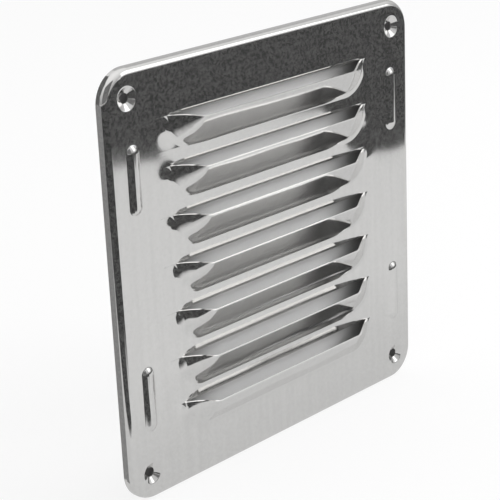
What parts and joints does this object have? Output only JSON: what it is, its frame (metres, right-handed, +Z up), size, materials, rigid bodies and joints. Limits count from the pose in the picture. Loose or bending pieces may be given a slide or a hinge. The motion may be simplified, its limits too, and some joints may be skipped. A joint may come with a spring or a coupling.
{
  "type": "louvred sheet metal panel",
  "caption": "Square pressed aluminium vent panel with rows of open louvres, raised side ribs, dimpled corner screw holes and edges turned back to the wall.",
  "frame": {"origin": "centre of the pattern of four screw holes, half way through the holes' walls", "axes": "+Z up along the panel's face, +X across it to the right as seen from the front, +Y back into the wall; the louvres face -Y and open upwards"},
  "size_m": [0.2, 0.0133, 0.2],
  "materials": {
    "sheet": "bright rolled sheet"
  },
  "bodies": {
    "root": {"louvred_panel": "sheet"}
  },
  "joints": []
}
